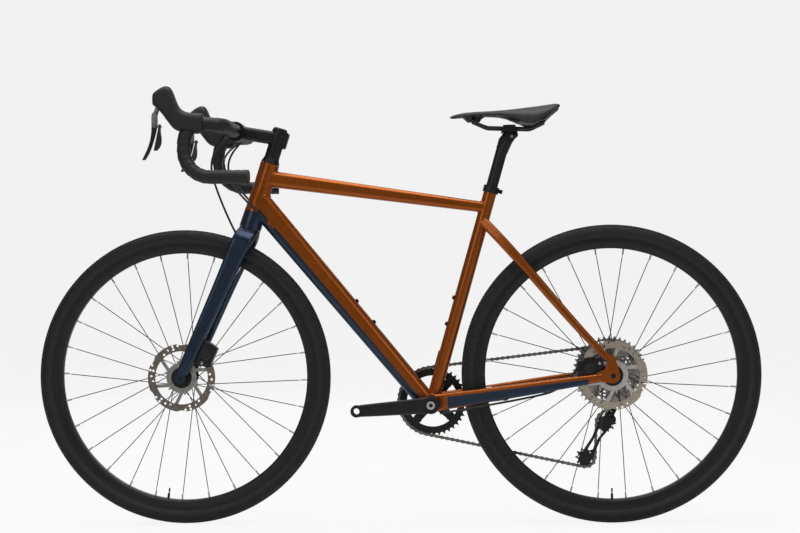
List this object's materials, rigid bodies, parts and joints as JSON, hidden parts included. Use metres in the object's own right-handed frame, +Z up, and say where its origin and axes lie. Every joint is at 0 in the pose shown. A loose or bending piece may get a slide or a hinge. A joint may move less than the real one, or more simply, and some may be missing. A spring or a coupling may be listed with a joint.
{
  "type": "gravel bicycle",
  "caption": "Gravel bicycle with tapered-steerer fork, flared drop bar, disc brakes, laced wheels, single chainring, wide cassette and long-cage derailleur.",
  "frame": {"origin": "on the ground, midway between the two tyre contact points, in the middle plane", "axes": "+X forward, +Y to the rider's left, +Z up"},
  "size_m": [1.7039, 0.5072, 1.0133],
  "materials": {
    "frame_paint": "metallic copper-orange gloss with dark blue panels",
    "fork_paint": "metallic dark blue gloss",
    "bearing_steel": "dark satin",
    "black_alloy": "black anodised satin",
    "lever_alloy": "grey painted over black",
    "steel": "satin",
    "tyre_rubber": "matt, fine file tread",
    "grip_tape": "matt wrapped tape",
    "rubber": "matt",
    "black_plastic": "satin",
    "saddle_skin": "matt synthetic cover",
    "hose": "satin"
  },
  "bodies": {
    "frame": {"head_tube": "frame_paint", "headset_bearings": "bearing_steel", "bottom_bracket_shell": "frame_paint", "seat_tube": "frame_paint", "down_tube": "frame_paint", "top_tube": "frame_paint", "bottle_bolts": "bearing_steel", "dropouts": "frame_paint", "chainstays": "frame_paint", "seatstays": "frame_paint", "seat_clamp": "black_alloy", "bottom_bracket_cups": "bearing_steel", "frame_covers": "frame_paint", "rear_caliper": "black_alloy", "rear_axle": "black_alloy", "derailleur_bracket": "black_alloy", "chain": "steel", "shift_cable": "hose", "rear_brake_hose": "hose"},
    "seat": {"seatpost": "black_alloy", "saddle_clamp": "black_alloy", "saddle_rails": "steel", "saddle_shell": "black_plastic", "saddle_cover": "saddle_skin"},
    "steering": {"fork": "fork_paint", "headset_covers": "black_alloy", "stem": "black_alloy", "stem_faceplate": "black_alloy", "stem_bolts": "bearing_steel", "handlebar": "black_alloy", "bar_tape": "grip_tape", "lever_hoods": "rubber", "front_caliper": "black_alloy", "front_axle": "black_alloy", "front_brake_hose": "hose"},
    "front_wheel": {"front_rim": "black_alloy", "front_tyre": "tyre_rubber", "front_hub": "black_alloy", "front_spokes": "steel", "front_rotor": "steel"},
    "rear_wheel": {"rear_rim": "black_alloy", "rear_tyre": "tyre_rubber", "rear_hub": "black_alloy", "rear_spokes": "steel", "rear_rotor": "steel"},
    "crank": {"crank_arm_left": "black_alloy", "crank_arm_right": "black_alloy", "chainring": "black_alloy", "chainring_bolts": "bearing_steel"},
    "cassette": {"cassette": "steel"},
    "outer_link": {"derailleur_outer_link": "black_alloy"},
    "inner_link": {"derailleur_inner_link": "black_alloy"},
    "cage_knuckle": {"derailleur_cage_knuckle": "black_alloy"},
    "cage": {"derailleur_cage": "black_alloy"},
    "guide_pulley": {"guide_pulley": "black_plastic"},
    "tension_pulley": {"tension_pulley": "black_plastic"},
    "brake_lever_left": {"brake_lever_left": "lever_alloy"},
    "brake_lever_right": {"brake_lever_right": "lever_alloy"},
    "shift_paddle_left": {"shift_paddle_left": "black_plastic"},
    "shift_paddle_right": {"shift_paddle_right": "black_plastic"}
  },
  "joints": [
    {"name": "steering", "type": "hinge", "parent": "frame", "child": "steering", "pos_m": [0.34296, 0, 0.69916], "axis": [-0.309, 0, 0.9511], "range_deg": [-60, 60], "deforming": ["shift_cable", "rear_brake_hose"]},
    {"name": "seatpost_slide", "type": "slide", "parent": "frame", "child": "seat", "axis": [-0.2773, 0, 0.9608], "range_m": [-0.06, 0.05]},
    {"name": "front_wheel_spin", "type": "hinge", "parent": "steering", "child": "front_wheel", "pos_m": [0.503, 0, 0.349], "axis": [0, 1, 0], "continuous": true},
    {"name": "rear_wheel_spin", "type": "hinge", "parent": "frame", "child": "rear_wheel", "pos_m": [-0.503, 0, 0.349], "axis": [0, 1, 0], "continuous": true},
    {"name": "crank_spin", "type": "hinge", "parent": "frame", "child": "crank", "pos_m": [-0.08417, 0, 0.283], "axis": [0, 1, 0], "continuous": true, "deforming": ["chain"]},
    {"name": "cassette_spin", "type": "hinge", "parent": "frame", "child": "cassette", "pos_m": [-0.503, 0, 0.349], "axis": [0, 1, 0], "continuous": true},
    {"name": "derailleur_shift", "type": "hinge", "parent": "frame", "child": "outer_link", "pos_m": [-0.53105, -0.0922, 0.29729], "axis": [0.9, 0, 0.436], "range_deg": [-40, 10], "deforming": ["chain", "shift_cable"]},
    {"name": "derailleur_inner_swing", "type": "hinge", "parent": "frame", "child": "inner_link", "pos_m": [-0.53105, -0.0742, 0.29729], "axis": [0.9, 0, 0.436], "range_deg": [-40, 10]},
    {"name": "derailleur_knuckle_swing", "type": "hinge", "parent": "outer_link", "child": "cage_knuckle", "pos_m": [-0.5125, -0.081, 0.259], "axis": [0.9, 0, 0.436], "range_deg": [-10, 40]},
    {"name": "cage_swing", "type": "hinge", "parent": "cage_knuckle", "child": "cage", "pos_m": [-0.5055, 0, 0.237], "axis": [0, 1, 0], "range_deg": [-25, 40], "stiffness_Nm_per_rad": 2, "deforming": ["chain"]},
    {"name": "guide_pulley_spin", "type": "hinge", "parent": "cage", "child": "guide_pulley", "pos_m": [-0.4935, -0.03268, 0.233], "axis": [0, 1, 0], "continuous": true},
    {"name": "tension_pulley_spin", "type": "hinge", "parent": "cage", "child": "tension_pulley", "pos_m": [-0.44479, -0.03268, 0.14912], "axis": [0, 1, 0], "continuous": true},
    {"name": "brake_lever_left_pull", "type": "hinge", "parent": "steering", "child": "brake_lever_left", "pos_m": [0.51163, 0.207, 0.97417], "axis": [0, 1, 0], "range_deg": [0, 20], "stiffness_Nm_per_rad": 3, "springref_deg": -5.73},
    {"name": "shift_paddle_left_push", "type": "hinge", "parent": "brake_lever_left", "child": "shift_paddle_left", "pos_m": [0.51063, 0.207, 0.92417], "axis": [-1, 0, 0], "range_deg": [0, 18], "stiffness_Nm_per_rad": 0.4, "springref_deg": -5.73},
    {"name": "brake_lever_right_pull", "type": "hinge", "parent": "steering", "child": "brake_lever_right", "pos_m": [0.51163, -0.207, 0.97417], "axis": [0, 1, 0], "range_deg": [0, 20], "stiffness_Nm_per_rad": 3, "springref_deg": -5.73},
    {"name": "shift_paddle_right_push", "type": "hinge", "parent": "brake_lever_right", "child": "shift_paddle_right", "pos_m": [0.51063, -0.207, 0.92417], "axis": [1, 0, 0], "range_deg": [0, 18], "stiffness_Nm_per_rad": 0.4, "springref_deg": -5.73}
  ],
  "couplings": [
    {"joint": "cassette_spin", "follows": "crank_spin", "ratio": 1.25},
    {"joint": "guide_pulley_spin", "follows": "crank_spin", "ratio": -3.6364},
    {"joint": "tension_pulley_spin", "follows": "crank_spin", "ratio": 3.6364},
    {"joint": "derailleur_inner_swing", "follows": "derailleur_shift", "ratio": 1},
    {"joint": "derailleur_knuckle_swing", "follows": "derailleur_shift", "ratio": -1}
  ]
}
